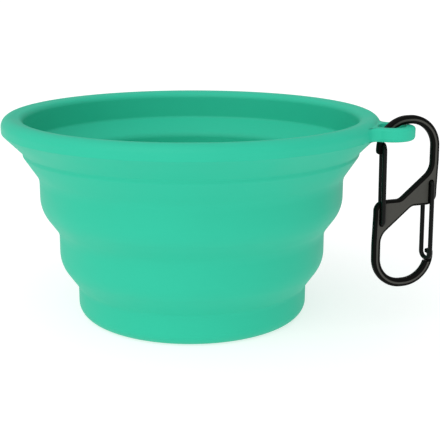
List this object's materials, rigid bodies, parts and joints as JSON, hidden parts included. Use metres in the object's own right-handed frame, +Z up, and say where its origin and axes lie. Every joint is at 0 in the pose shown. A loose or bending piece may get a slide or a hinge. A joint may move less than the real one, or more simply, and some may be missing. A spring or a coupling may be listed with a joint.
{
  "type": "collapsible bowl",
  "caption": "Round silicone travel bowl with a stepped wall that folds flat, a moulded hanging eye on the rim and a double-gate clip.",
  "frame": {"origin": "centre of the flat underside of the foot", "axes": "+Z up through the centre of the bowl, +X towards the hanging eye"},
  "size_m": [0.1494, 0.13, 0.0732],
  "materials": {
    "silicone": "matte moulded silicone, mint green",
    "clip": "satin black coating",
    "wire": "black coated spring wire"
  },
  "bodies": {
    "base": {"foot_cup": "silicone", "lower_web": "silicone"},
    "lower_wall": {"lower_ring": "silicone", "middle_web": "silicone"},
    "upper_wall": {"upper_ring": "silicone", "top_web": "silicone"},
    "rim": {"rim": "silicone"},
    "clip": {"clip_body": "clip"},
    "upper_gate": {"upper_gate": "wire"},
    "lower_gate": {"lower_gate": "wire"}
  },
  "joints": [
    {"name": "lower_fold", "type": "slide", "parent": "base", "child": "lower_wall", "axis": [0, 0, -1], "range_m": [0, 0.0197], "deforming": ["lower_web"]},
    {"name": "middle_fold", "type": "slide", "parent": "lower_wall", "child": "upper_wall", "axis": [0, 0, -1], "range_m": [0, 0.0192], "deforming": ["middle_web"]},
    {"name": "top_fold", "type": "slide", "parent": "upper_wall", "child": "rim", "axis": [0, 0, -1], "range_m": [0, 0.0164], "deforming": ["top_web"]},
    {"name": "clip_swing", "type": "hinge", "parent": "rim", "child": "clip", "pos_m": [0.07432, 0.00373, 0.06785], "axis": [0.5736, -0.8192, 0], "range_deg": [0, 90]},
    {"name": "lower_gate_hinge", "type": "hinge", "parent": "clip", "child": "lower_gate", "pos_m": [0.0811, 0.00847, 0.05038], "axis": [-0.5736, 0.8192, 0], "range_deg": [0, 30], "stiffness_Nm_per_rad": 0.002, "springref_deg": -8.59},
    {"name": "upper_gate_hinge", "type": "hinge", "parent": "clip", "child": "upper_gate", "pos_m": [0.06755, -0.00101, 0.03742], "axis": [-0.5736, 0.8192, 0], "range_deg": [0, 30], "stiffness_Nm_per_rad": 0.002, "springref_deg": -8.59}
  ]
}
